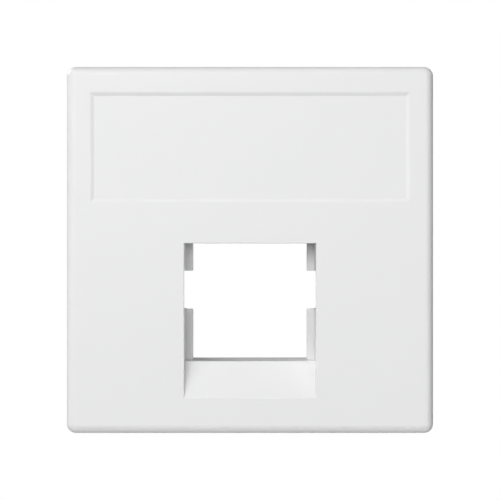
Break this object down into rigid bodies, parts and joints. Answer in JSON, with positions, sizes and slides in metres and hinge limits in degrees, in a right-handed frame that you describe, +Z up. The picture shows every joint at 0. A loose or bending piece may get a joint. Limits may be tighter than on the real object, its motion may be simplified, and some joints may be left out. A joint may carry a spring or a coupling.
{
  "type": "wall plate",
  "caption": "Square white moulded centre plate for a data outlet, with a recessed label field, a jack window with thin ledges and a thumb ramp, and a ribbed hollow back with snap legs.",
  "frame": {"origin": "centre of the rear rim, on the plane that seats on the support frame", "axes": "seen from the front +X points right and +Z up, and +Y points from the front face to the back"},
  "size_m": [0.055, 0.013, 0.055],
  "materials": {
    "white_plastic": "satin"
  },
  "bodies": {
    "root": {"cover_plate": "white_plastic"}
  },
  "joints": []
}
